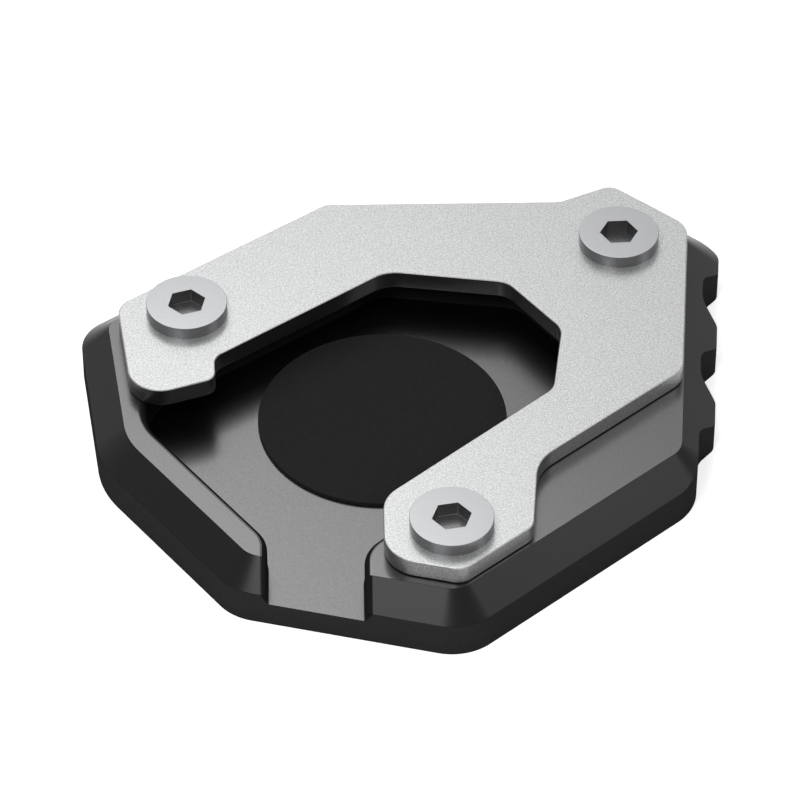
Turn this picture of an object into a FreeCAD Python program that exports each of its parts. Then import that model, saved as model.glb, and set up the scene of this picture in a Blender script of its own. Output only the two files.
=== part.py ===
"""Kickstand foot enlarger: a pocketed base, a clamp plate that traps the stand's foot, a pad and screws.

Millimetres. +Z is up, the underside lies on Z = 0 and the origin is the middle of the base's footprint.
The stand's foot slides in from the front (-Y) along the slot and rests on the pad in the pocket.
A side of an outline is given as (facing, reach): the direction its outer face looks in, in degrees
from +X, and its distance from the origin.
"""
import os
import FreeCAD
import Part
from math import cos, radians, sin, tan
from FreeCAD import Vector

# Directions that the sides face, shared by the base, the pocket and the clamp plate
left_facing = 192.5
front_left_facing = 221.4
front_facing = 260.1
front_right_facing = 315.4
right_facing = 0.0
rear_right_facing = 54.0
rear_lobe_facing = 119.8
rear_facing = 94.9
rear_left_facing = 130.9

# Base: reach of its four main walls, and how far the corner walls between them cut in
left_reach = 44.41
front_reach = 44.46
right_reach = 47.31
rear_reach = 40.61
front_left_cut = 10.58
front_right_cut = 28.20
rear_right_cut = 7.22
rear_left_cut = 22.92
rear_lobe_rise = 10.96

# Base: heights, bevel and corner radii
base_height = 9.0
wall_height = 5.5
bevel_run = 4.1
right_tooth_ledge = 0.7
rim_round = 4.0
left_rim_round = 12.0
rear_rim_round = 2.2
rear_hollow_round = 2.5
bevel_overrun = 1.0
underside_chamfer = 0.4

# Base: grip teeth along the right side, between its two corners; the shares are of the pitch
front_tooth_margin = 13.0
rear_tooth_margin = 4.79
tooth_depth = 2.35
notch_count = 2
rear_flank_share = 0.19
front_flank_share = 0.22
root_share = 0.285
tooth_tip_round = 2.0
tooth_root_round = 1.4
side_corner_round = 9.0

# Pocket and slot for the stand's foot; each wall is measured in from the base's side
pocket_depth = 5.1
pocket_floor_round = 0.3
pocket_edge_round = 0.8
rear_left_thickness = 18.85
front_left_thickness = 8.29
right_thickness = 20.21
rear_right_thickness = 28.99
rear_thickness = 16.91
left_land = 3.43
pocket_front_right_facing = 316.5
pocket_right_facing = 357.2
pocket_rear_right_facing = 41.1
pocket_rear_facing = 86.2
pocket_corner_round = 5.0
slot_width = 13.7
slot_land = 5.12
right_mouth_gap = 9.26
slot_mouth_round = 5.8

# Clamp plate
plate_thickness = 3.0
plate_overhang = 3.45
plate_setback = 0.25
plate_left_setback = 1.6
plate_front_setback = 1.15
plate_nose_setback = 0.5
plate_edge_chamfer = 0.3
plate_waist_setback = 25.4
plate_waist_inset = 10.0
plate_arm_setback = 2.8
plate_corner_round = 3.5
plate_right_rear_round = 5.5
plate_rear_left_round = 2.0
plate_lobe_hollow_round = 3.0
plate_lobe_round = 2.4
inner_corner_round = 3.5
plate_nose_round = 2.4
plate_arm_round = 5.5
plate_waist_round = 7.5
tab_face_land = 15.28
tab_face_facing = 294.3
tab_step_land = 3.82
tab_step_facing = 7.0
tab_round = 5.0
tab_tip_round = 1.9
tab_heel_round = 2.6

# Clamp screws
head_diameter = 12.0
head_height = 2.0
head_edge_chamfer = 0.2
shank_diameter = 8.0
shank_length = 9.5
shank_point_chamfer = 0.6
socket_across_flats = 5.0
socket_depth = 2.2
socket_cone_depth = 0.5
drill_share = 0.9
thread_clearance = 0.05
plate_hole_clearance = 0.2
hole_end_gap = 0.5
left_screw_gap = 15.79
left_screw_rear_gap = 11.79
left_screw_turn = 23.0
rear_screw_gap = 14.15
rear_screw_right_gap = 15.36
rear_screw_turn = 7.4
front_screw_gap = 13.39
front_screw_right_gap = 12.18
front_screw_turn = 15.7

# Foot pad
pad_gap = 3.5
pad_front_gap = 3.41
pad_rear_gap = 12.95
pad_thickness = 0.6
pad_edge_chamfer = 0.15

# Turns in degrees, and a hexagon's sides
quarter_turn = 90
hexagon_sides = 6


def unit(angle):
    """Unit vector in the plan at an angle in degrees."""
    return Vector(cos(radians(angle)), sin(radians(angle)), 0)


def crossing(side_a, side_b):
    """Plan point where two sides' faces cross."""
    n, m = unit(side_a[0]), unit(side_b[0])
    det = n.x * m.y - n.y * m.x
    x = (side_a[1] * m.y - side_b[1] * n.y) / det
    y = (n.x * side_b[1] - m.x * side_a[1]) / det
    return Vector(x, y, 0)


# Corners of the four main walls, and the reaches and heights that follow
left_wall = (left_facing, left_reach)
front_wall = (front_facing, front_reach)
right_wall = (right_facing, right_reach)
rear_wall = (rear_facing, rear_reach)
rear_right_corner = crossing(right_wall, rear_wall)
front_left_reach = crossing(left_wall, front_wall).dot(unit(front_left_facing)) - front_left_cut
front_right_reach = crossing(front_wall, right_wall).dot(unit(front_right_facing)) - front_right_cut
rear_right_reach = rear_right_corner.dot(unit(rear_right_facing)) - rear_right_cut
rear_lobe_reach = rear_right_corner.dot(unit(rear_lobe_facing)) + rear_lobe_rise
rear_left_reach = crossing(rear_wall, left_wall).dot(unit(rear_left_facing)) - rear_left_cut
front_left_wall = (front_left_facing, front_left_reach)
slot_facing = rear_facing - quarter_turn
slot_left = crossing(front_left_wall, front_wall).dot(unit(slot_facing)) + slot_land
slot_right = slot_left + slot_width
mouth_line = (front_facing, front_reach - right_mouth_gap)
right_mouth = crossing((slot_facing, slot_right), mouth_line)
pocket_front_right_reach = right_mouth.dot(unit(pocket_front_right_facing))
pocket_rear_left_reach = rear_left_reach - rear_left_thickness
pocket_front_left_reach = front_left_reach - front_left_thickness
pocket_right_reach = right_reach - right_thickness
pocket_rear_right_reach = rear_right_reach - rear_right_thickness
pocket_rear_reach = rear_reach - rear_thickness
pad_diameter = pocket_front_right_reach + pocket_rear_left_reach - 2 * pad_gap
pocket_floor = base_height - pocket_depth
plate_top = base_height + plate_thickness
overcut = 1.0
mouth_overcut = 12.0
same_place = 1e-3


def inset(corners, gap):
    """Corners of an outline with every side moved inwards by a gap, and its roundings to suit."""
    count = len(corners)
    area = sum(corners[i - 1][0].cross(corners[i][0]).z for i in range(count))
    hand = 1 if area > 0 else -1
    moved = []
    for i, (point, radius) in enumerate(corners):
        into = (point - corners[i - 1][0]).normalize()
        out = (corners[(i + 1) % count][0] - point).normalize()
        inward = (Vector(-into.y, into.x, 0) + Vector(-out.y, out.x, 0)) * hand
        convex = into.cross(out).z * hand > 0
        shift = inward * (gap * 2 / inward.Length ** 2)
        moved.append((point + shift, radius - gap if convex else radius + gap))
    return moved


def rounded_wire(corners, z):
    """Closed wire through plan corners (point, radius), each corner rounded by a tangent arc."""
    count = len(corners)
    starts, ends, middles = [], [], []
    for i, (point, radius) in enumerate(corners):
        back = (corners[i - 1][0] - point).normalize()
        ahead = (corners[(i + 1) % count][0] - point).normalize()
        half_angle = back.getAngle(ahead) / 2
        trim = radius / tan(half_angle)
        bisector = (back + ahead).normalize()
        starts.append(point + back * trim)
        ends.append(point + ahead * trim)
        middles.append(point + bisector * (radius / sin(half_angle) - radius))
    lift = Vector(0, 0, z)
    edges = []
    for i in range(count):
        if corners[i][1] > 0:
            edges.append(Part.Arc(starts[i] + lift, middles[i] + lift, ends[i] + lift).toShape())
        edges.append(Part.LineSegment(ends[i] + lift, starts[(i + 1) % count] + lift).toShape())
    return Part.Wire(edges)


def ruled_solid(levels):
    """Solid with flat sides through outlines (corners, z), listed upwards."""
    return Part.makeLoft([rounded_wire(corners, z) for corners, z in levels], True, True)


def prism(wire, height):
    """Solid of a closed wire raised by a height."""
    return Part.Face(wire).extrude(Vector(0, 0, height))


def middle_of(edge):
    """Point halfway along an edge."""
    return edge.valueAt((edge.FirstParameter + edge.LastParameter) / 2)


def edges_at(shape, z, keep=None):
    """Edges of a shape that lie in the plane at height z."""
    found = []
    for edge in shape.Edges:
        box = edge.BoundBox
        if abs(box.ZMin - z) < same_place and abs(box.ZMax - z) < same_place:
            if keep is None or keep(edge):
                found.append(edge)
    return found


def footprint_sides(depth, ledge):
    """Sides of the base moved inwards by a depth, and the right side by a ledge more."""
    grow = bevel_run - depth
    return [
        (left_facing, left_reach - depth, left_rim_round + grow),
        (front_left_facing, front_left_reach - depth, rim_round + grow),
        (front_facing, front_reach - depth, rim_round + grow),
        (front_right_facing, front_right_reach - depth, rim_round + grow),
        (right_facing, right_reach - ledge - depth, rear_rim_round + grow),
        (rear_right_facing, rear_right_reach - depth, rear_rim_round + grow),
        (rear_lobe_facing, rear_lobe_reach - depth, rear_hollow_round + depth),
        (rear_facing, rear_reach - depth, rear_rim_round + grow),
        (rear_left_facing, rear_left_reach - depth, rear_rim_round + grow),
    ]


def side_corners(sides):
    """Corner points with radii, each where a side meets the next."""
    corners = []
    for i, side in enumerate(sides):
        corners.append((crossing(side, sides[(i + 1) % len(sides)]), side[2]))
    return corners


def tooth_corners():
    """Corners of the right side from front to rear: front corner, a front tooth flank, then notches."""
    root_x = right_reach - tooth_depth
    front = crossing((front_right_facing, front_right_reach), (right_facing, root_x))
    rear = crossing(right_wall, (rear_right_facing, rear_right_reach))
    first_y = front.y + front_tooth_margin
    pitch = (rear.y - rear_tooth_margin - first_y) / notch_count
    corners = [
        (front, side_corner_round),
        (Vector(root_x, first_y - rear_flank_share * pitch, 0), tooth_root_round),
        (Vector(right_reach, first_y, 0), tooth_tip_round),
    ]
    for i in range(notch_count):
        rear_y = first_y + (i + 1) * pitch
        root_rear_y = rear_y - rear_flank_share * pitch
        root_front_y = root_rear_y - root_share * pitch
        flank_front_y = root_front_y - front_flank_share * pitch
        corners += [
            (Vector(right_reach, flank_front_y, 0), tooth_tip_round),
            (Vector(root_x, root_front_y, 0), tooth_root_round),
            (Vector(root_x, root_rear_y, 0), tooth_root_round),
            (Vector(right_reach, rear_y, 0), tooth_tip_round),
        ]
    return corners


def base_footprint():
    """Corners of the base's footprint, with the grip teeth in place of its front right corner."""
    corners = side_corners(footprint_sides(0, 0))
    return corners[:3] + tooth_corners() + corners[4:]


def beveled_form():
    """Form that gives the base its bevel: rim outline on top, widening to just past the walls."""
    slope = bevel_run / (base_height - wall_height)
    low = footprint_sides(-slope * bevel_overrun, right_tooth_ledge)
    rim = footprint_sides(bevel_run, right_tooth_ledge)
    low_corners = side_corners(low)
    levels = [
        (low_corners, -overcut),
        (low_corners, wall_height - bevel_overrun),
        (side_corners(rim), base_height),
    ]
    return ruled_solid(levels)


def pocket_left_round():
    """Radius of the pocket's left corner that keeps a named land of rim beside it."""
    rear_left = (rear_left_facing, pocket_rear_left_reach)
    front_left = (front_left_facing, pocket_front_left_reach)
    corner_reach = crossing(rear_left, front_left).dot(unit(left_facing))
    bisector = unit(rear_left_facing) + unit(front_left_facing)
    half_turn = radians(front_left_facing - rear_left_facing) / 2
    lean = bisector.normalize().dot(unit(left_facing)) / cos(half_turn)
    return (corner_reach - (left_reach - bevel_run - left_land)) / (lean - 1)


def pocket_sides(depth, front_end):
    """Sides of the pocket and its slot, moved inwards by a depth."""
    soft = pocket_corner_round - depth
    mouth = slot_mouth_round + depth
    return [
        (rear_left_facing, pocket_rear_left_reach - depth, pocket_left_round() - depth),
        (front_left_facing, pocket_front_left_reach - depth, mouth),
        (slot_facing + 2 * quarter_turn, -slot_left - depth, 0),
        (front_facing, front_end, 0),
        (slot_facing, slot_right - depth, mouth),
        (pocket_front_right_facing, pocket_front_right_reach - depth, soft),
        (pocket_right_facing, pocket_right_reach - depth, soft),
        (pocket_rear_right_facing, pocket_rear_right_reach - depth, soft),
        (pocket_rear_facing, pocket_rear_reach - depth, soft),
    ]


def pocket_space():
    """Space of the pocket and slot, with rounded edges along its floor."""
    wire = rounded_wire(side_corners(pocket_sides(0, front_reach + mouth_overcut)), pocket_floor)
    space = prism(wire, pocket_depth + overcut)
    mouth = front_reach + mouth_overcut

    def along_wall(edge):
        return middle_of(edge).dot(unit(front_facing)) < mouth - overcut

    return space.makeFillet(pocket_floor_round, edges_at(space, pocket_floor, along_wall))


def cylinder(diameter, height, place, z):
    """Upright cylinder at a place in the plan."""
    return Part.makeCylinder(diameter / 2, height, Vector(place.x, place.y, z))


def pocket_wall_edges(body):
    """Outer edges of the pocket's walls: round the rim, down the bevel and down the front wall."""
    mouth = front_reach + mouth_overcut
    outline = rounded_wire(side_corners(pocket_sides(0, mouth)), 0)
    found = []
    for edge in body.Edges:
        middle = middle_of(edge)
        on_wall = outline.distToShape(Part.Vertex(Vector(middle.x, middle.y, 0)))[0] < same_place
        above_floor = edge.BoundBox.ZMax > pocket_floor + pocket_floor_round + same_place
        plan_length = max(edge.BoundBox.XLength, edge.BoundBox.YLength)
        at_front = abs(middle.dot(unit(front_facing)) - front_reach) < same_place
        if on_wall and above_floor and (plan_length > same_place or at_front):
            found.append(edge)
    return found


def screw_places():
    """Name of each clamp screw with its plan position and the turn of its socket."""
    left = (left_facing, left_reach - left_screw_gap)
    rear_left = (rear_left_facing, rear_left_reach - left_screw_rear_gap)
    rear_right = (rear_right_facing, rear_right_reach - rear_screw_gap)
    right = (right_facing, right_reach - rear_screw_right_gap)
    front = (front_facing, front_reach - front_screw_gap)
    front_right = (front_right_facing, front_right_reach - front_screw_right_gap)
    return {
        "screw_left": (crossing(left, rear_left), left_screw_turn),
        "screw_rear": (crossing(rear_right, right), rear_screw_turn),
        "screw_front": (crossing(front, front_right), front_screw_turn),
    }


def base_plate():
    """Machined base: toothed footprint under one wide bevel, pocketed, with blind screw holes."""
    footprint = base_footprint()
    levels = [
        (inset(footprint, underside_chamfer), 0),
        (footprint, underside_chamfer),
        (footprint, base_height + overcut),
    ]
    body = ruled_solid(levels).common(beveled_form())
    body = body.cut(pocket_space())
    body = body.makeFillet(pocket_edge_round, pocket_wall_edges(body))
    hole_bottom = plate_top - shank_length - hole_end_gap
    hole = shank_diameter + 2 * thread_clearance
    for place, turn in screw_places().values():
        body = body.cut(cylinder(hole, base_height - hole_bottom + overcut, place, hole_bottom))
    return body


def plate_corners():
    """Corners of the clamp plate, clockwise from the tab round the outside and back along the inside."""
    outer_left = (left_facing, left_reach - bevel_run - plate_left_setback)
    outer_rear_left = (rear_left_facing, rear_left_reach - bevel_run - plate_setback)
    outer_rear = (rear_facing, rear_reach - bevel_run - plate_setback)
    outer_lobe = (rear_lobe_facing, rear_lobe_reach - bevel_run - plate_setback)
    outer_rear_right = (rear_right_facing, rear_right_reach - bevel_run - plate_setback)
    outer_right = (right_facing, right_reach - right_tooth_ledge - bevel_run - plate_setback)
    nose_right = (front_right_facing, front_right_reach - bevel_run - plate_nose_setback)
    outer_front_right = (front_right_facing, nose_right[1] - plate_waist_inset + plate_nose_setback)
    waist = (right_facing, right_reach - plate_waist_setback)
    nose_front = (front_facing, front_reach - bevel_run - plate_front_setback)
    arm_end = (slot_facing, slot_right + plate_arm_setback)
    inner_front_right = (pocket_front_right_facing, pocket_front_right_reach - plate_overhang)
    inner_right = (pocket_right_facing, pocket_right_reach - plate_overhang)
    inner_rear_right = (pocket_rear_right_facing, pocket_rear_right_reach - plate_overhang)
    inner_rear = (pocket_rear_facing, pocket_rear_reach - plate_overhang)
    inner_rear_left = (rear_left_facing, pocket_rear_left_reach - plate_overhang)
    tab_screw = screw_places()["screw_left"][0]
    tab_step = (tab_step_facing, tab_screw.dot(unit(tab_step_facing)) + tab_step_land)
    tab_face = (tab_face_facing, tab_screw.dot(unit(tab_face_facing)) + tab_face_land)
    run = [
        (outer_left, plate_corner_round),
        (outer_rear_left, plate_rear_left_round),
        (outer_rear, plate_lobe_hollow_round),
        (outer_lobe, plate_lobe_round),
        (outer_rear_right, plate_right_rear_round),
        (outer_right, plate_corner_round),
        (outer_front_right, plate_waist_round),
        (waist, plate_nose_round),
        (nose_right, plate_nose_round),
        (nose_front, plate_arm_round),
        (arm_end, plate_arm_round),
        (inner_front_right, inner_corner_round),
        (inner_right, inner_corner_round),
        (inner_rear_right, inner_corner_round),
        (inner_rear, plate_arm_round),
        (inner_rear_left, tab_heel_round),
        (tab_step, tab_tip_round),
        (tab_face, tab_round),
    ]
    return side_corners([(side[0], side[1], radius) for side, radius in run])


def clamp_plate():
    """Open plate that overhangs the pocket and traps the stand's foot; its top edges are chamfered."""
    corners = plate_corners()
    levels = [
        (corners, base_height),
        (corners, plate_top - plate_edge_chamfer),
        (inset(corners, plate_edge_chamfer), plate_top),
    ]
    plate = ruled_solid(levels)
    hole = shank_diameter + 2 * plate_hole_clearance
    for place, turn in screw_places().values():
        plate = plate.cut(cylinder(hole, plate_thickness + 2 * overcut, place, base_height - overcut))
    return plate


def screw(place, turn):
    """Low wafer-head screw with a hexagon socket that ends in a drilled cone."""
    head_top = plate_top + head_height
    shank_end = plate_top - shank_length
    head = cylinder(head_diameter, head_height, place, plate_top)
    head = head.makeChamfer(head_edge_chamfer, edges_at(head, head_top))
    shank = cylinder(shank_diameter, shank_length, place, shank_end)
    shank = shank.makeChamfer(shank_point_chamfer, edges_at(shank, shank_end))
    socket_floor = place + Vector(0, 0, head_top - socket_depth)
    corner_radius = socket_across_flats / 2 / cos(radians(2 * quarter_turn / hexagon_sides))
    points = []
    for i in range(hexagon_sides + 1):
        angle = turn + 4 * quarter_turn * i / hexagon_sides
        points.append(socket_floor + unit(angle) * corner_radius)
    socket = prism(Part.makePolygon(points), socket_depth + overcut)
    drill_radius = socket_across_flats / 2 * drill_share
    cone_tip = socket_floor - Vector(0, 0, socket_cone_depth)
    cone = Part.makeCone(0, drill_radius, socket_cone_depth, cone_tip)
    return head.fuse(shank).removeSplitter().cut(socket).cut(cone)


def foot_pad():
    """Round pad glued to the pocket floor."""
    pad_radius = pad_diameter / 2
    front_reach_of_center = pocket_front_right_reach - pad_radius - pad_front_gap
    rear_reach_of_center = pocket_rear_right_reach - pad_radius - pad_rear_gap
    front_right = (pocket_front_right_facing, front_reach_of_center)
    rear_right = (pocket_rear_right_facing, rear_reach_of_center)
    pad = cylinder(pad_diameter, pad_thickness, crossing(front_right, rear_right), pocket_floor)
    return pad.makeChamfer(pad_edge_chamfer, edges_at(pad, pocket_floor + pad_thickness))


def save(name, shape):
    """Write one piece and print its state."""
    print(name, "solids", len(shape.Solids), "valid", shape.isValid(), "volume", round(shape.Volume, 1))
    print("   box", shape.BoundBox)
    shape.exportStep("parts/" + name + ".step")


os.makedirs("parts", exist_ok=True)
save("base_plate", base_plate())
save("clamp_plate", clamp_plate())
save("foot_pad", foot_pad())
for name, (place, turn) in screw_places().items():
    save(name, screw(place, turn))
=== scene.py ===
"""Kickstand foot enlarger: the dressed pieces, their finishes and a plain studio around them.

The tables, the helpers and the heights that they take are in millimetres, with the origin under
the middle of the base. The settings, the lamps and the camera are in metres.
An outline is a list of corners (x, y, radius).
"""
from math import atan, ceil, cos, pi, radians, sin, tan

import bmesh
import bpy
from bpy.props import FloatProperty, FloatVectorProperty, PointerProperty
from mathutils import Matrix, Vector


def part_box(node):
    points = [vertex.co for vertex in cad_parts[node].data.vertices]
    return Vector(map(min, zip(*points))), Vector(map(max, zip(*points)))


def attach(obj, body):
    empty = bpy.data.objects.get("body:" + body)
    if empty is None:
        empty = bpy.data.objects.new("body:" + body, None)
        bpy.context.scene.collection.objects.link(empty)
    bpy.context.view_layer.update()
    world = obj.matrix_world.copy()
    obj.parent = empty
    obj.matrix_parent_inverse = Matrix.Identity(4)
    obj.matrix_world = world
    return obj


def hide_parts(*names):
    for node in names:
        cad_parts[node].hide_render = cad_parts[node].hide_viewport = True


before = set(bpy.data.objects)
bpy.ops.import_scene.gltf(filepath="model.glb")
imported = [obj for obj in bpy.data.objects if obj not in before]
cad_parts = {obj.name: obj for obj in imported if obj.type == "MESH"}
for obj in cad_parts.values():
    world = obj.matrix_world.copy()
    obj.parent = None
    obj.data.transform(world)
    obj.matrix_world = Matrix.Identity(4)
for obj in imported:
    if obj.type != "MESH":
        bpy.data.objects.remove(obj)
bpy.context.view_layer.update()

bl_info = {
    "name": "Kickstand Foot Enlarger",
    "version": (1, 0, 0),
    "blender": (4, 5, 0),
    "location": "View3D > Sidebar > Foot Enlarger",
    "description": "Builds a kickstand foot enlarger with its clamp plate, pad, screws and studio",
    "category": "Add Mesh",
}

MM = 0.001

# Outline of the base at the ground, with the grip teeth on its right side
FOOTPRINT = [
    (-41.649, -17.317, 16.1), (-20.241, -41.599, 8.1), (13.52, -47.492, 8.1),
    (44.96, -15.61, 9.0), (44.96, -5.812, 4.0), (47.31, -2.61, 2.0),
    (47.31, 2.531, 2.0), (44.96, 6.239, 4.0), (44.96, 11.043, 4.0), (47.31, 14.245, 2.0),
    (47.31, 19.386, 2.0), (44.96, 23.094, 4.0), (44.96, 27.898, 4.0), (47.31, 31.1, 2.0),
    (47.31, 35.89, 2.5), (30.72, 47.944, 6.3), (21.374, 42.591, 2.5),
    (-14.656, 39.502, 6.3), (-47.868, 10.734, 6.3),
]

# Sides of the bevel at the rim: facing in degrees, reach from the origin, corner radius to the next
RIM_SIDES = [
    (192.5, 40.31, 12.0), (221.4, 38.593, 4.0), (260.1, 40.36, 4.0), (315.4, 38.873, 4.0),
    (0.0, 42.51, 2.2), (54.0, 52.744, 2.2), (119.8, 22.237, 6.6), (94.9, 36.51, 2.2),
    (130.9, 35.354, 2.2),
]

# Sides of the pocket and its slot
POCKET_SIDES = [
    (130.9, 20.604, 9.207), (221.4, 34.403, 5.8), (184.9, 18.601, 0), (260.1, 54.0, 0),
    (4.9, -4.901, 5.8), (316.5, 23.004, 5.0), (357.2, 27.1, 5.0), (41.1, 27.854, 5.0),
    (86.2, 23.7, 5.0),
]

# Outline of the clamp plate
PLATE = [
    (-41.9, 10.148, 3.5), (-12.876, 35.289, 2.0), (22.703, 38.339, 3.0), (30.44, 42.77, 2.4),
    (42.26, 34.183, 4.4), (42.26, 1.733, 3.5), (21.91, -18.903, 7.5), (21.91, -32.433, 2.4),
    (12.492, -41.983, 2.4), (1.324, -40.034, 5.5), (0.3, -28.091, 5.5), (23.5, -3.643, 3.5),
    (24.14, 9.451, 3.5), (15.584, 19.26, 3.5), (-2.574, 20.466, 5.5), (-26.377, -0.154, 2.6),
    (-25.802, -4.837, 1.9), (-37.415, -10.081, 5.0),
]

# Each clamp screw's center and the turn of its socket in degrees
SCREWS = {
    "screw_left": (-31.399, 9.401, 23.0),
    "screw_rear": (31.95, 29.56, 7.4),
    "screw_front": (10.362, -33.348, 15.7),
}

PAD_CENTER = (-1.499, -3.453)

# Plan x where the clamp plate's left arm ends; its walls take the darker copy of the opening's walls all
# round, as painted shade
LEFT_ARM_END = -23.0

# How far a cutting solid runs past the piece that it cuts
OVER = 1.0

# Radii of the screws' shanks and of their holes
SHANK_RADIUS = 4.0
BASE_HOLE_RADIUS = 4.05
PLATE_HOLE_RADIUS = 4.2
BLIND_HOLE_END_GAP = 0.5

# Chamfers of a screw: at its point, and round its head in two steps
POINT_CHAMFER = 0.6
HEAD_CHAMFER = 0.12
HEAD_CHAMFER_STEP = 0.04
SOCKET_EDGE = 0.12

PAD_EDGE = 0.15

# Least angle in degrees of an edge that is broken, and of one that shades as sharp
CRISP_ANGLE = 25
SHARP_ANGLE = 35

# Slack in metres when heights are compared, and in a normal's rise when facings are
LEVEL_SLACK = 1e-6
SUNK_SLACK = 1e-5
RISE_SLACK = 0.02

# Each lamp's place and width in metres, and the setting that holds its power
LAMPS = {
    "rear_lamp": ((-0.18, 0.36, 0.69), 0.5, "rear_power"),
    "front_lamp": ((-0.19, -0.4, 0.64), 0.25, "front_power"),
    "right_lamp": ((0.6, -0.05, 0.5), 0.15, "right_power"),
}
LAMP_TARGET = (0, 0, 0.01)

# Camera in metres, its lens and sensor in millimetres
CAMERA_PLACE = (0.03312, -0.490829, 0.459449)
CAMERA_TARGET = (0.0015115, -0.009864, 0.014)
CAMERA_LENS = 204.36
CAMERA_SENSOR = 36.0
CAMERA_CLIP_START = 0.01

FLOOR_REACH = 4.0


def node_top(node):
    """Top of a piece of the frame, in millimetres."""
    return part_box(node)[1].z / MM


def node_bottom(node):
    """Bottom of a piece of the frame, in millimetres."""
    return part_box(node)[0].z / MM


# Outlines and solids


def crossing(side, other):
    """Plan point where two sides cross."""
    a, b = radians(side[0]), radians(other[0])
    turn = sin(b - a)
    x = (side[1] * sin(b) - other[1] * sin(a)) / turn
    y = (other[1] * cos(a) - side[1] * cos(b)) / turn
    return x, y


def corners_of(sides, grow=0.0):
    """Corners of an outline given by its sides, each side moved outwards by grow."""
    corners = []
    for i, side in enumerate(sides):
        following = sides[(i + 1) % len(sides)]
        x, y = crossing((side[0], side[1] + grow), (following[0], following[1] + grow))
        hollow = sin(radians(following[0] - side[0])) < 0
        radius = side[2] if side[2] == 0 else side[2] + (-grow if hollow else grow)
        corners.append((x, y, radius))
    return corners


def outline(bm, corners, height, step=4.0):
    """Closed ring of edges through rounded corners; each round is one vertex spun about its center."""
    arcs = []
    count = len(corners)
    for i, (x, y, radius) in enumerate(corners):
        point = Vector((x, y, height))
        back = (Vector((*corners[i - 1][:2], height)) - point).normalized()
        ahead = (Vector((*corners[(i + 1) % count][:2], height)) - point).normalized()
        if radius == 0:
            arcs.append([bm.verts.new(point * MM)])
            continue
        half = back.angle(ahead) / 2
        center = point + (back + ahead).normalized() * (radius / sin(half))
        start = bm.verts.new((point + back * (radius / tan(half))) * MM)
        turn = (pi - 2 * half) * (1 if back.cross(ahead).z < 0 else -1)
        steps = max(4, ceil(abs(turn) / radians(step)))
        before = set(bm.verts)
        bmesh.ops.spin(bm, geom=[start], cent=center * MM, axis=(0, 0, 1), dvec=(0, 0, 0),
                       angle=turn, steps=steps, use_merge=False, use_duplicate=False)
        added = [v for v in bm.verts if v not in before]
        added.sort(key=lambda v: (v.co - start.co).length)
        arcs.append([start] + added)
    ring = [v for arc in arcs for v in arc]
    for i, arc in enumerate(arcs):
        bm.edges.new((arc[-1], arcs[(i + 1) % count][0]))
    return ring


def ring_edges(ring):
    """Edges that run round a ring of vertices."""
    members = set(ring)
    return [e for v in ring for e in v.link_edges if e.other_vert(v) in members and e.verts[0] is v]


def walls_between(bm, lower, upper):
    """Bridge one ring to the next."""
    bmesh.ops.bridge_loops(bm, edges=ring_edges(lower) + ring_edges(upper))


def prism(corners, bottom, top):
    """Closed upright solid of an outline."""
    bm = bmesh.new()
    floor = bm.faces.new(outline(bm, corners, bottom))
    raised = bmesh.ops.extrude_face_region(bm, geom=[floor], use_keep_orig=True)["geom"]
    verts = [g for g in raised if isinstance(g, bmesh.types.BMVert)]
    bmesh.ops.translate(bm, vec=(0, 0, (top - bottom) * MM), verts=verts)
    bmesh.ops.recalc_face_normals(bm, faces=bm.faces)
    return bm


def flared_solid(levels):
    """Closed solid through outlines (corners, height), listed upwards."""
    bm = bmesh.new()
    rings = [outline(bm, corners, height) for corners, height in levels]
    for lower, upper in zip(rings, rings[1:]):
        walls_between(bm, lower, upper)
    bm.faces.new(rings[0])
    bm.faces.new(rings[-1])
    bmesh.ops.recalc_face_normals(bm, faces=bm.faces)
    return bm


def column(radius, bottom, top, x, y, sides=72, turn=0.0):
    """Upright round or many-sided column, turned by degrees."""
    bm = bmesh.new()
    place = Matrix.Translation(Vector((x, y, (bottom + top) / 2)) * MM)
    place = place @ Matrix.Rotation(radians(turn), 4, "Z")
    bmesh.ops.create_cone(bm, cap_ends=True, cap_tris=False, segments=sides,
                          radius1=radius * MM, radius2=radius * MM,
                          depth=(top - bottom) * MM, matrix=place)
    return bm


def paint(bm, slot, faces=None):
    """Give faces a material slot."""
    for face in bm.faces if faces is None else faces:
        face.material_index = slot
    return bm


def joined(solids):
    """One mesh of several solids that stay clear of each other."""
    whole = bmesh.new()
    for bm in solids:
        part = bpy.data.meshes.new("part")
        bm.to_mesh(part)
        bm.free()
        whole.from_mesh(part)
        bpy.data.meshes.remove(part)
    return whole


def screw_holes(radius, bottom, top):
    """Columns that cut the holes of the three screws."""
    return joined([column(radius, bottom, top, x, y) for x, y, _ in SCREWS.values()])


def scratch_object(bm, slots):
    """Unshown object of a mesh, for the boolean modifier."""
    mesh = bpy.data.meshes.new("scratch")
    bm.to_mesh(mesh)
    bm.free()
    for _ in range(slots):
        mesh.materials.append(None)
    thing = bpy.data.objects.new("scratch", mesh)
    bpy.context.scene.collection.objects.link(thing)
    return thing


def carved(body, tool, how, slots=1):
    """Mesh of a body cut by, or kept inside, a tool. Both are used up."""
    body_object, tool_object = scratch_object(body, slots), scratch_object(tool, slots)
    carve = body_object.modifiers.new("Carve", "BOOLEAN")
    carve.operation = how
    carve.solver = "EXACT"
    carve.object = tool_object
    depsgraph = bpy.context.evaluated_depsgraph_get()
    result = bmesh.new()
    result.from_object(body_object, depsgraph)
    for thing in (body_object, tool_object):
        mesh = thing.data
        bpy.data.objects.remove(thing)
        bpy.data.meshes.remove(mesh)
    bmesh.ops.remove_doubles(result, verts=result.verts, dist=0.002 * MM)
    return result


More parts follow.
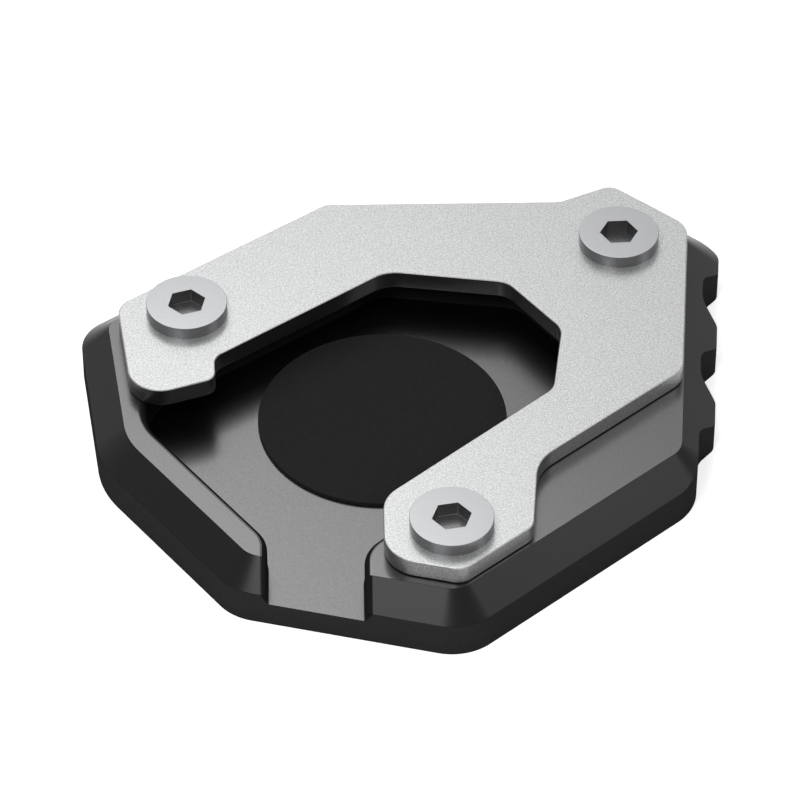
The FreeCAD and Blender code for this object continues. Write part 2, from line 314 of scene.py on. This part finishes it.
def soften(bm, edges, width, segments):
    """Round edges over by a width in millimetres and give the new faces."""
    made = bmesh.ops.bevel(bm, geom=edges, offset=width * MM, offset_type="OFFSET",
                           segments=segments, profile=0.5, affect="EDGES",
                           clamp_overlap=True, material=-1)
    return made["faces"]


def level_edges(bm, height):
    """Edges that lie at one height, in millimetres."""
    return [e for e in bm.edges if all(abs(v.co.z - height * MM) < LEVEL_SLACK for v in e.verts)]


def finished_piece(name, bm, materials, replaced):
    """Object of a finished mesh, smooth apart from its sharp edges, riding on the frame."""
    mesh = bpy.data.meshes.new(name)
    bm.to_mesh(mesh)
    bm.free()
    for material in materials:
        mesh.materials.append(material)
    mesh.shade_smooth()
    mesh.set_sharp_from_angle(angle=radians(SHARP_ANGLE))
    piece = bpy.data.objects.new(name, mesh)
    bpy.context.scene.collection.objects.link(piece)
    shading = piece.modifiers.new("Even shading", "WEIGHTED_NORMAL")
    shading.keep_sharp = True
    shading.mode = "FACE_AREA_WITH_ANGLE"
    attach(piece, "root")
    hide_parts(replaced)
    return piece


# Materials


def new_material(name):
    """Material with a surface shader, its nodes and links."""
    material = bpy.data.materials.new(name)
    material.use_nodes = True
    nodes, links = material.node_tree.nodes, material.node_tree.links
    return material, nodes, links, nodes["Principled BSDF"]


def object_noise(nodes, links, size, detail=2.0, stretch=(1, 1, 1)):
    """Noise whose grains are about size millimetres across, fixed to the piece."""
    place = nodes.new("ShaderNodeTexCoord")
    mapping = nodes.new("ShaderNodeMapping")
    noise = nodes.new("ShaderNodeTexNoise")
    mapping.inputs["Scale"].default_value = stretch
    noise.inputs["Scale"].default_value = 1 / (size * MM)
    noise.inputs["Detail"].default_value = detail
    links.new(place.outputs["Object"], mapping.inputs["Vector"])
    links.new(mapping.outputs["Vector"], noise.inputs["Vector"])
    return noise


def shade_ramp(nodes, links, source, low, high, start=0.35, end=0.65):
    """Blend between two grays or colors by a noise."""
    ramp = nodes.new("ShaderNodeValToRGB")
    ramp.color_ramp.elements[0].position = start
    ramp.color_ramp.elements[1].position = end
    ramp.color_ramp.elements[0].color = (*low, 1)
    ramp.color_ramp.elements[1].color = (*high, 1)
    links.new(source.outputs["Fac"], ramp.inputs["Fac"])
    return ramp


def relief(nodes, links, source, shader, depth, strength):
    """Bump from a noise, depth in millimetres."""
    bump = nodes.new("ShaderNodeBump")
    bump.inputs["Distance"].default_value = depth * MM
    bump.inputs["Strength"].default_value = strength
    links.new(source.outputs["Fac"], bump.inputs["Height"])
    links.new(bump.outputs["Normal"], shader.inputs["Normal"])


def scaled(color, factor):
    """Color made lighter or darker."""
    return tuple(c * factor for c in color)


def roughness_range(nodes, links, source, shader, low, high):
    """Roughness that wanders with a noise between two values."""
    spread = nodes.new("ShaderNodeMapRange")
    spread.inputs["To Min"].default_value = low
    spread.inputs["To Max"].default_value = high
    links.new(source.outputs["Fac"], spread.inputs["Value"])
    links.new(spread.outputs["Result"], shader.inputs["Roughness"])


def blasted_metal(name, color, grain, metallic):
    """Bead-blasted metal: fine light and dark grains with a shallow relief."""
    material, nodes, links, shader = new_material(name)
    noise = object_noise(nodes, links, grain, detail=3.0)
    dark, light = scaled(color, 0.79), scaled(color, 1.2)
    ramp = shade_ramp(nodes, links, noise, dark, light, start=0.4, end=0.6)
    links.new(ramp.outputs["Color"], shader.inputs["Base Color"])
    shader.inputs["Metallic"].default_value = metallic
    roughness_range(nodes, links, noise, shader, low=0.28, high=0.35)
    relief(nodes, links, noise, shader, depth=0.03, strength=0.5)
    return material


def shaded_machined_edge(name, color, rough, metallic):
    """Cut metal edge with faint marks along it, in a darkened color that each caller passes as painted
    shade.
    """
    material, nodes, links, shader = new_material(name)
    noise = object_noise(nodes, links, size=0.3, stretch=(1, 1, 5))
    ramp = shade_ramp(nodes, links, noise, scaled(color, 0.85), scaled(color, 1.15))
    links.new(ramp.outputs["Color"], shader.inputs["Base Color"])
    shader.inputs["Metallic"].default_value = metallic
    roughness_range(nodes, links, noise, shader, rough - 0.02, rough + 0.02)
    return material


def black_anodised(name, color, rough, metallic, specular):
    """Black anodised metal: even, with a very fine etched grain."""
    material, nodes, links, shader = new_material(name)
    noise = object_noise(nodes, links, size=0.25, detail=3.0)
    ramp = shade_ramp(nodes, links, noise, scaled(color, 0.93), scaled(color, 1.07))
    links.new(ramp.outputs["Color"], shader.inputs["Base Color"])
    shader.inputs["Metallic"].default_value = metallic
    shader.inputs["Specular IOR Level"].default_value = specular
    roughness_range(nodes, links, noise, shader, rough - 0.01, rough + 0.01)
    return material


def satin_steel(name, color, rough):
    """Smooth satin screw steel, very faintly mottled."""
    material, nodes, links, shader = new_material(name)
    noise = object_noise(nodes, links, size=0.5)
    ramp = shade_ramp(nodes, links, noise, scaled(color, 0.98), scaled(color, 1.02))
    links.new(ramp.outputs["Color"], shader.inputs["Base Color"])
    shader.inputs["Metallic"].default_value = 0.7
    roughness_range(nodes, links, noise, shader, rough - 0.03, rough + 0.03)
    return material


def matte_rubber(name, color):
    """Matte black rubber with a fine cloth-like mottle."""
    material, nodes, links, shader = new_material(name)
    noise = object_noise(nodes, links, size=0.4, detail=4.0)
    ramp = shade_ramp(nodes, links, noise, scaled(color, 0.9), scaled(color, 1.1))
    links.new(ramp.outputs["Color"], shader.inputs["Base Color"])
    shader.inputs["Roughness"].default_value = 0.9
    shader.inputs["Specular IOR Level"].default_value = 0.1
    relief(nodes, links, noise, shader, depth=0.02, strength=0.2)
    return material


# Sizes and colors that a user would change


class BaseSettings(bpy.types.PropertyGroup):
    """Base plate."""

    wall_height: FloatProperty(
        name="Wall height", description="Height of the upright wall under the bevel",
        default=0.0055, unit="LENGTH")
    bevel_run: FloatProperty(
        name="Bevel run", description="Width of the bevel in the plan", default=0.0041, unit="LENGTH")
    pocket_depth: FloatProperty(
        name="Pocket depth", description="Depth of the foot pocket", default=0.0051, unit="LENGTH")
    pocket_edge: FloatProperty(
        name="Pocket edge", description="Rounding of the pocket's upper edge",
        default=0.0011, unit="LENGTH")
    floor_round: FloatProperty(
        name="Floor round", description="Rounding along the pocket's floor",
        default=0.00016, unit="LENGTH")
    edge_break: FloatProperty(
        name="Edge break", description="Rounding of all other edges", default=0.00012, unit="LENGTH")
    # Painted shade: the upright walls take a darker copy of the one black anodised finish.
    shaded_wall_color: FloatVectorProperty(
        name="Wall color", description="Black of the upright walls",
        default=(0.05, 0.05, 0.051), subtype="COLOR", min=0, max=1)
    # Painted shade: the rounded edges and the pocket walls take this darker copy, which draws dark lines
    # along the edges.
    edge_shade: FloatVectorProperty(
        name="Edge color", description="Black of the rounded edges",
        default=(0.02, 0.02, 0.0205), subtype="COLOR", min=0, max=1)
    # Painted shade: the bevel takes a darker copy of the same finish.
    shaded_bevel_color: FloatVectorProperty(
        name="Bevel color", description="Black of the bevel",
        default=(0.009, 0.009, 0.0093), subtype="COLOR", min=0, max=1)
    # Painted light: the flat faces take a lighter copy of the same finish, standing in for their sheen.
    lit_face_color: FloatVectorProperty(
        name="Face color", description="Black of the flat milled faces",
        default=(0.123, 0.123, 0.125), subtype="COLOR", min=0, max=1)


class PlateSettings(bpy.types.PropertyGroup):
    """Clamp plate."""

    edge: FloatProperty(
        name="Edge", description="Rounding of the plate's upper edge", default=0.00018, unit="LENGTH")
    opening_reach: FloatProperty(
        name="Opening reach", description="Reach of the plate's opening from the middle of the base",
        default=0.0276, unit="LENGTH")
    lower_edge: FloatProperty(
        name="Lower edge", description="Rounding of the plate's lower edge",
        default=0.0003, unit="LENGTH")
    grain: FloatProperty(
        name="Grain", description="Size of the blasted grains", default=0.00021, unit="LENGTH")
    color: FloatVectorProperty(
        name="Color", description="Blasted top of the plate",
        default=(0.505, 0.509, 0.513), subtype="COLOR", min=0, max=1)
    # Painted shade: the outer walls take a darker copy of the top's blasted metal.
    outer_shaded_color: FloatVectorProperty(
        name="Outer edge color", description="Outer walls of the plate",
        default=(0.26, 0.262, 0.265), subtype="COLOR", min=0, max=1)
    # Painted shade: the walls round the opening, the left arm's walls and the underside take a still
    # darker copy.
    inner_shaded_color: FloatVectorProperty(
        name="Inner edge color", description="Walls of the plate round its opening",
        default=(0.08, 0.08, 0.081), subtype="COLOR", min=0, max=1)


class FittingSettings(bpy.types.PropertyGroup):
    """Screws and pad."""

    head_diameter: FloatProperty(
        name="Head diameter", description="Across a screw's head", default=0.012, unit="LENGTH")
    socket: FloatProperty(
        name="Socket", description="Across the flats of a screw's socket",
        default=0.005, unit="LENGTH")
    socket_depth: FloatProperty(
        name="Socket depth", description="Depth of a screw's socket", default=0.0022, unit="LENGTH")
    head_color: FloatVectorProperty(
        name="Head color", description="Satin top of a screw's head",
        default=(0.4, 0.404, 0.412), subtype="COLOR", min=0, max=1)
    pad_diameter: FloatProperty(
        name="Pad diameter", description="Across the foot pad", default=0.0366, unit="LENGTH")
    pad_color: FloatVectorProperty(
        name="Pad color", description="Rubber of the foot pad",
        default=(0.022, 0.022, 0.022), subtype="COLOR", min=0, max=1)


class StudioSettings(bpy.types.PropertyGroup):
    """Floor, lamps and world."""

    rear_power: FloatProperty(
        name="Rear lamp", description="Power of the soft lamp behind the part", default=1.8, unit="POWER")
    front_power: FloatProperty(
        name="Front lamp", description="Power of the lamp in front", default=2.2, unit="POWER")
    right_power: FloatProperty(
        name="Right lamp", description="Power of the lamp on the right", default=0.6, unit="POWER")
    sky: FloatProperty(
        name="Sky", description="Strength of the pale sky on the part", default=0.08)
    floor_color: FloatVectorProperty(
        name="Floor color", description="Pale floor",
        default=(0.8, 0.8, 0.8), subtype="COLOR", min=0, max=1)
    floor_lift: FloatProperty(
        name="Floor lift", description="White that the floor adds where it is seen", default=0.75)


# Operators


class ENLARGER_OT_base(bpy.types.Operator):
    """Build the black base with its bevel, pocket, slot and grip teeth"""

    bl_idname = "enlarger.base"
    bl_label = "Build base"

    def execute(self, context):
        s = context.scene.enlarger_base
        bevel_run, wall_height = s.bevel_run / MM, s.wall_height / MM
        # Slots of four copies of one black anodised finish: painted light on the flat faces, painted
        # shade on the walls, bevel, edges and pocket walls.
        walls, faces, bevel, edges = 0, 1, 2, 3
        pocket_walls = bevel
        top = node_top("base_plate")
        floor = top - s.pocket_depth / MM
        slope = bevel_run / (top - wall_height)
        low = corners_of(RIM_SIDES, bevel_run + OVER * slope)
        form = flared_solid([
            (low, -OVER),
            (low, wall_height - OVER),
            (corners_of(RIM_SIDES), top),
        ])
        bm = carved(prism(FOOTPRINT, 0, top + OVER), form, "INTERSECT", 4)
        pocket = prism(corners_of(POCKET_SIDES), floor, top + OVER)
        bm = carved(bm, paint(pocket, pocket_walls), "DIFFERENCE", 4)
        shoulder = []
        for edge in bm.edges:
            kinds = {f.material_index for f in edge.link_faces}
            above = max(v.co.z for v in edge.verts) > floor * MM + SUNK_SLACK
            if kinds == {walls, pocket_walls} and above:
                shoulder.append(edge)
        soften(bm, shoulder, s.pocket_edge / MM, 5)
        inner = [e for e in level_edges(bm, floor) if not e.is_convex]
        fillet = soften(bm, inner, s.floor_round / MM, 2)
        lean = cos(atan(1 / slope))
        # Facing picks the copy: the bevel's, the lighter one on flat faces, and the dark edge copy on
        # other sloped faces and the pocket walls as painted shade.
        for face in bm.faces:
            rise = face.normal.z
            if abs(rise - lean) < RISE_SLACK:
                face.material_index = bevel
            elif rise > 1 - RISE_SLACK:
                face.material_index = faces
            elif rise > RISE_SLACK or face.material_index == pocket_walls:
                face.material_index = edges
        # The pocket floor's fillet takes the bevel's glossier copy, which draws a painted highlight line
        # along the floor.
        paint(bm, bevel, fillet)
        # Every crisp edge is broken and takes the dark edge copy: painted shade lines along the edges.
        crisp = [e for e in bm.edges if e.is_convex and e.calc_face_angle() > radians(CRISP_ANGLE)]
        paint(bm, edges, soften(bm, crisp, s.edge_break / MM, 2))
        hole_end = node_bottom("screw_left") - BLIND_HOLE_END_GAP
        bm = carved(bm, screw_holes(BASE_HOLE_RADIUS, hole_end, top + OVER), "DIFFERENCE", 4)
        materials = [
            black_anodised("black_anodised_walls", s.shaded_wall_color, rough=0.4, metallic=0.0, specular=0.0),
            black_anodised("black_anodised_faces", s.lit_face_color, rough=0.26, metallic=1.0, specular=0.5),
            black_anodised("black_anodised_bevel", s.shaded_bevel_color, rough=0.3, metallic=0.0, specular=0.15),
            black_anodised("black_anodised_edges", s.edge_shade, rough=0.4, metallic=0.0, specular=0.0),
        ]
        finished_piece("base", bm, materials, "base_plate")
        return {"FINISHED"}


class ENLARGER_OT_plate(bpy.types.Operator):
    """Build the open clamp plate with its blasted top"""

    bl_idname = "enlarger.plate"
    bl_label = "Build clamp plate"

    def execute(self, context):
        s = context.scene.enlarger_plate
        blasted, outside, inside = 0, 1, 2
        bottom, top = node_bottom("clamp_plate"), node_top("clamp_plate")
        bm = prism(PLATE, bottom, top)
        soften(bm, level_edges(bm, top), s.edge / MM, 4)
        soften(bm, level_edges(bm, bottom), s.lower_edge / MM, 2)
        holes = screw_holes(PLATE_HOLE_RADIUS, bottom - OVER, top + OVER)
        bm = carved(bm, holes, "DIFFERENCE")
        # Facing picks the copy: the walls take the darker outer copy as painted shade, and a still darker
        # copy round the opening, on the left arm and on the underside.
        for face in bm.faces:
            rise = face.normal.z
            middle = face.calc_center_median()
            inner = face.normal.dot(middle) < 0 and middle.xy.length < s.opening_reach
            inner = inner or middle.x < LEFT_ARM_END * MM
            # Downward faces take the darkest copy: a painted shadow line where the plate meets the base.
            face.material_index = inside if inner or rise < -0.2 else outside
            # Painted highlight and shade on the upper rounded edge: the strip next to the top takes the
            # dark wall copy, the middle strip the light top copy.
            if rise > 0.95 or 0.3 < rise < 0.7:
                face.material_index = blasted
        materials = [
            blasted_metal("blasted_plate", s.color, s.grain / MM, metallic=0.6),
            blasted_metal("plate_outer_edge", s.outer_shaded_color, s.grain / MM, metallic=0.95),
            shaded_machined_edge("plate_inner_edge", s.inner_shaded_color, rough=0.3, metallic=0.8),
        ]
        finished_piece("plate", bm, materials, "clamp_plate")
        return {"FINISHED"}


def in_socket(edge, x, y, corner, floor):
    """Whether an edge reaches down to the floor of a screw's socket."""
    low = min(v.co.z for v in edge.verts)
    away = max((v.co.xy - Vector((x, y)) * MM).length for v in edge.verts)
    return abs(low - floor) < LEVEL_SLACK and away < (corner + 0.05) * MM


class ENLARGER_OT_screws(bpy.types.Operator):
    """Build the three low-head socket screws"""

    bl_idname = "enlarger.screws"
    bl_label = "Build screws"

    def execute(self, context):
        s = context.scene.enlarger_fittings
        tops, sides = 0, 1
        materials = [
            satin_steel("screw_steel", s.head_color, rough=0.35),
            # Painted shade: a darker copy of the head's steel for the head's sides and the socket.
            shaded_machined_edge("screw_side", scaled(s.head_color, 0.42), rough=0.3, metallic=0.8),
        ]
        seat = node_top("clamp_plate")
        for name, (x, y, turn) in SCREWS.items():
            head_top, tip = node_top(name), node_bottom(name)
            radius = s.head_diameter / MM / 2
            bm = bmesh.new()
            profile = [
                (0, head_top),
                (radius - HEAD_CHAMFER, head_top),
                (radius - HEAD_CHAMFER_STEP, head_top - HEAD_CHAMFER_STEP),
                (radius, head_top - HEAD_CHAMFER),
                (radius, seat),
                (SHANK_RADIUS, seat),
                (SHANK_RADIUS, tip + POINT_CHAMFER),
                (SHANK_RADIUS - POINT_CHAMFER, tip),
                (0, tip),
            ]
            verts = [bm.verts.new(Vector((x + r, y, z)) * MM) for r, z in profile]
            edges = [bm.edges.new(pair) for pair in zip(verts, verts[1:])]
            bmesh.ops.spin(bm, geom=verts + edges, cent=Vector((x, y, 0)) * MM, axis=(0, 0, 1),
                           dvec=(0, 0, 0), angle=2 * pi, steps=96, use_merge=True,
                           use_duplicate=False)
            bmesh.ops.remove_doubles(bm, verts=bm.verts, dist=0.001 * MM)
            bmesh.ops.recalc_face_normals(bm, faces=bm.faces)
            corner = s.socket / MM / 2 / cos(radians(30))
            socket_bottom = head_top - s.socket_depth / MM
            socket = column(corner, socket_bottom, head_top + OVER, x, y, sides=6, turn=turn + 90)
            bm = carved(bm, socket, "DIFFERENCE")
            # Upright faces and the socket's floor take the darker copy as painted shade.
            for face in bm.faces:
                upright = abs(face.normal.z) < 0.5
                sunk = abs(face.calc_center_median().z - socket_bottom * MM) < SUNK_SLACK
                face.material_index = sides if upright or sunk else tops
            # The socket's inner corners are rounded and take the light top copy: painted highlight lines
            # inside the socket.
            hollow = [e for e in bm.edges if in_socket(e, x, y, corner, socket_bottom * MM)]
            paint(bm, tops, soften(bm, hollow, SOCKET_EDGE, 1))
            finished_piece(name + "_dressed", bm, materials, name)
        return {"FINISHED"}


class ENLARGER_OT_pad(bpy.types.Operator):
    """Build the round foot pad"""

    bl_idname = "enlarger.pad"
    bl_label = "Build pad"

    def execute(self, context):
        s = context.scene.enlarger_fittings
        x, y = PAD_CENTER
        bottom, top = node_bottom("foot_pad"), node_top("foot_pad")
        bm = column(s.pad_diameter / MM / 2, bottom, top, x, y, sides=144)
        soften(bm, level_edges(bm, top), PAD_EDGE, 3)
        materials = [matte_rubber("pad_rubber", s.pad_color)]
        finished_piece("pad", bm, materials, "foot_pad")
        return {"FINISHED"}


class ENLARGER_OT_studio(bpy.types.Operator):
    """Set the camera, the pale floor, the lamps and the sky"""

    bl_idname = "enlarger.studio"
    bl_label = "Set studio"

    def execute(self, context):
        s = context.scene.enlarger_studio
        scene = context.scene
        scene.view_settings.view_transform = "Standard"
        add_floor(s.floor_color, s.floor_lift)
        add_sky(s.sky)
        for name, (place, width, power) in LAMPS.items():
            add_lamp(name, place, width, getattr(s, power))
        add_camera()
        return {"FINISHED"}


def add_floor(color, lift):
    """Pale floor that shows white behind the part and keeps its shadow."""
    bm = bmesh.new()
    bmesh.ops.create_grid(bm, x_segments=2, y_segments=2, size=FLOOR_REACH)
    mesh = bpy.data.meshes.new("floor")
    bm.to_mesh(mesh)
    bm.free()
    floor = bpy.data.objects.new("floor", mesh)
    bpy.context.scene.collection.objects.link(floor)
    material, nodes, links, shader = new_material("pale_floor")
    shader.inputs["Base Color"].default_value = (*color, 1)
    shader.inputs["Roughness"].default_value = 0.9
    shader.inputs["Specular IOR Level"].default_value = 0.0
    glow = nodes.new("ShaderNodeEmission")
    total = nodes.new("ShaderNodeAddShader")
    share = nodes.new("ShaderNodeMath")
    share.operation = "MULTIPLY"
    share.inputs[1].default_value = lift
    glow.inputs["Color"].default_value = (1, 1, 1, 1)
    links.new(seen_directly(nodes, links), share.inputs[0])
    links.new(share.outputs["Value"], glow.inputs["Strength"])
    links.new(shader.outputs["BSDF"], total.inputs[0])
    links.new(glow.outputs["Emission"], total.inputs[1])
    links.new(total.outputs["Shader"], nodes["Material Output"].inputs["Surface"])
    mesh.materials.append(material)


def seen_directly(nodes, links):
    """Socket that is 1 for rays from the camera, off gloss or through glass, else 0."""
    path = nodes.new("ShaderNodeLightPath")
    first = nodes.new("ShaderNodeMath")
    second = nodes.new("ShaderNodeMath")
    first.operation = second.operation = "MAXIMUM"
    links.new(path.outputs["Is Camera Ray"], first.inputs[0])
    links.new(path.outputs["Is Glossy Ray"], first.inputs[1])
    links.new(first.outputs["Value"], second.inputs[0])
    links.new(path.outputs["Is Transmission Ray"], second.inputs[1])
    return second.outputs["Value"]


def add_sky(strength):
    """World that lights the part gently and is white where it is seen."""
    world = bpy.data.worlds.new("studio_sky")
    bpy.context.scene.world = world
    world.use_nodes = True
    nodes, links = world.node_tree.nodes, world.node_tree.links
    light = nodes["Background"]
    light.inputs["Color"].default_value = (1, 1, 1, 1)
    light.inputs["Strength"].default_value = strength
    white = nodes.new("ShaderNodeBackground")
    white.inputs["Color"].default_value = (1, 1, 1, 1)
    white.inputs["Strength"].default_value = 1.0
    mix = nodes.new("ShaderNodeMixShader")
    links.new(seen_directly(nodes, links), mix.inputs["Fac"])
    links.new(light.outputs["Background"], mix.inputs[1])
    links.new(white.outputs["Background"], mix.inputs[2])
    links.new(mix.outputs["Shader"], nodes["World Output"].inputs["Surface"])


def aimed(place, target):
    """Turn that looks from a place to a target."""
    away = Vector(place) - Vector(target)
    return away.to_track_quat("Z", "Y").to_euler()


def add_lamp(name, place, width, power):
    """Square soft lamp aimed at the part."""
    light = bpy.data.lights.new(name, "AREA")
    light.shape = "SQUARE"
    light.size = width
    light.energy = power
    lamp = bpy.data.objects.new(name, light)
    lamp.location = place
    lamp.rotation_euler = aimed(place, LAMP_TARGET)
    bpy.context.scene.collection.objects.link(lamp)


def add_camera():
    """Camera with a long lens, looking down from the front."""
    data = bpy.data.cameras.new("camera")
    data.sensor_width = CAMERA_SENSOR
    data.lens = CAMERA_LENS
    data.clip_start = CAMERA_CLIP_START
    camera = bpy.data.objects.new("camera", data)
    camera.location = CAMERA_PLACE
    camera.rotation_euler = aimed(CAMERA_PLACE, CAMERA_TARGET)
    bpy.context.scene.collection.objects.link(camera)
    bpy.context.scene.camera = camera


class ENLARGER_PT_panel(bpy.types.Panel):
    """Foot enlarger in the sidebar"""

    bl_label = "Foot Enlarger"
    bl_idname = "ENLARGER_PT_panel"
    bl_space_type = "VIEW_3D"
    bl_region_type = "UI"
    bl_category = "Foot Enlarger"

    def draw(self, context):
        layout = self.layout
        for settings, operators in PANEL_ROWS:
            box = layout.box()
            group = getattr(context.scene, settings)
            for name in group.__annotations__:
                box.prop(group, name)
            for operator in operators:
                box.operator(operator)


PANEL_ROWS = (
    ("enlarger_base", ("enlarger.base",)),
    ("enlarger_plate", ("enlarger.plate",)),
    ("enlarger_fittings", ("enlarger.screws", "enlarger.pad")),
    ("enlarger_studio", ("enlarger.studio",)),
)

SETTINGS = {
    "enlarger_base": BaseSettings,
    "enlarger_plate": PlateSettings,
    "enlarger_fittings": FittingSettings,
    "enlarger_studio": StudioSettings,
}

CLASSES = (
    BaseSettings, PlateSettings, FittingSettings, StudioSettings,
    ENLARGER_OT_base, ENLARGER_OT_plate, ENLARGER_OT_screws, ENLARGER_OT_pad,
    ENLARGER_OT_studio, ENLARGER_PT_panel,
)


def register():
    """Add the classes and their settings."""
    for cls in CLASSES:
        bpy.utils.register_class(cls)
    for name, group in SETTINGS.items():
        setattr(bpy.types.Scene, name, PointerProperty(type=group))


def unregister():
    """Take the settings and classes away again."""
    for name in SETTINGS:
        delattr(bpy.types.Scene, name)
    for cls in reversed(CLASSES):
        bpy.utils.unregister_class(cls)


def main():
    """Build every piece and the studio."""
    register()
    bpy.ops.enlarger.base()
    bpy.ops.enlarger.plate()
    bpy.ops.enlarger.screws()
    bpy.ops.enlarger.pad()
    bpy.ops.enlarger.studio()


if __name__ == "__main__":
    main()
